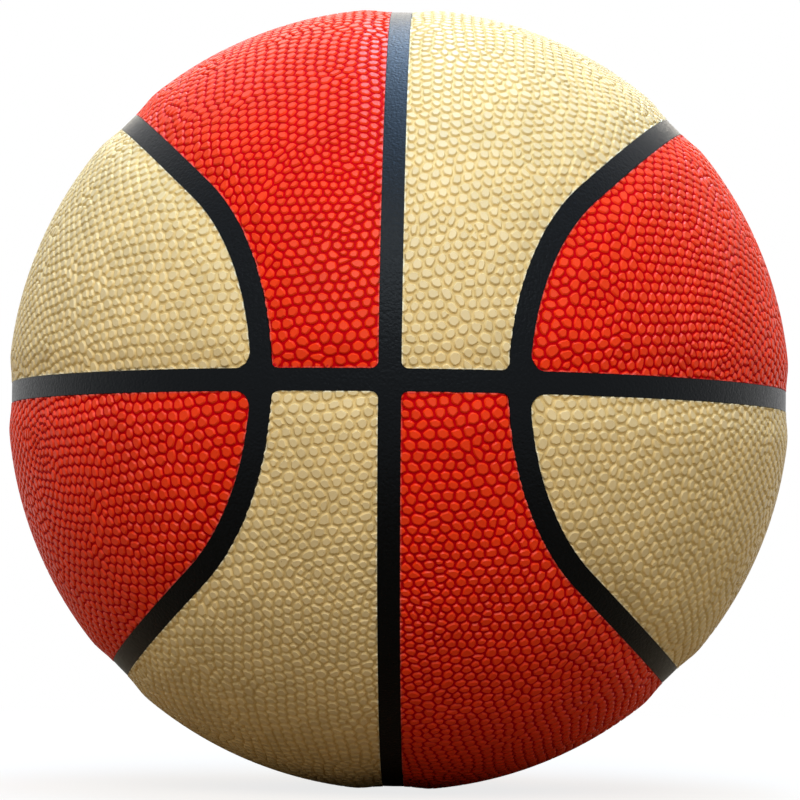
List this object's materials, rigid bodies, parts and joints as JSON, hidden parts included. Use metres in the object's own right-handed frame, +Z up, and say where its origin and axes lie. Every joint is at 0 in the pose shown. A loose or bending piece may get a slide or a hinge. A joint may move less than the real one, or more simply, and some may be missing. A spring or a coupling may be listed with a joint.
{
  "type": "basketball",
  "caption": "Laminated basketball with pebbled red and cream cover panels, black seam ribs in shallow valleys, padded backing, wound bladder and a removable push-in valve.",
  "frame": {"origin": "centre of the ball", "axes": "+Z up through the meridian seam, -Y out through the front crossing of the two great-circle seams, +X towards the right-hand cap panels"},
  "size_m": [0.2418, 0.2408, 0.2418],
  "materials": {
    "cover_red": "pebbled synthetic leather, semi-matte",
    "cover_cream": "pebbled synthetic leather, semi-matte",
    "backing_foam": "closed-cell foam, matte",
    "rib_rubber": "moulded rubber, fine grain, semi-matte",
    "carcass_rubber": "moulded rubber, matte",
    "winding_thread": "nylon thread with latex, satin",
    "bladder_rubber": "butyl rubber, satin",
    "valve_rubber": "soft rubber, satin"
  },
  "bodies": {
    "ball": {"panel_upper_left_band": "cover_red", "panel_upper_left_cap": "cover_cream", "panel_upper_right_band": "cover_cream", "panel_upper_right_cap": "cover_red", "panel_lower_left_band": "cover_cream", "panel_lower_left_cap": "cover_red", "panel_lower_right_band": "cover_red", "panel_lower_right_cap": "cover_cream", "backing_upper_left_band": "backing_foam", "backing_upper_left_cap": "backing_foam", "backing_upper_right_band": "backing_foam", "backing_upper_right_cap": "backing_foam", "backing_lower_left_band": "backing_foam", "backing_lower_left_cap": "backing_foam", "backing_lower_right_band": "backing_foam", "backing_lower_right_cap": "backing_foam", "rib_meridian": "rib_rubber", "rib_equator_left": "rib_rubber", "rib_equator_right": "rib_rubber", "rib_loop_upper_left": "rib_rubber", "rib_loop_upper_right": "rib_rubber", "rib_loop_lower_left": "rib_rubber", "rib_loop_lower_right": "rib_rubber", "carcass": "carcass_rubber", "thread_winding": "winding_thread", "bladder": "bladder_rubber", "valve_seat": "valve_rubber"},
    "valve_core": {"valve_core": "valve_rubber"}
  },
  "joints": [
    {"name": "valve_core_pull", "type": "slide", "parent": "ball", "child": "valve_core", "axis": [-0.1509, 0.9672, 0.2043], "range_m": [0, 0.0165]}
  ]
}
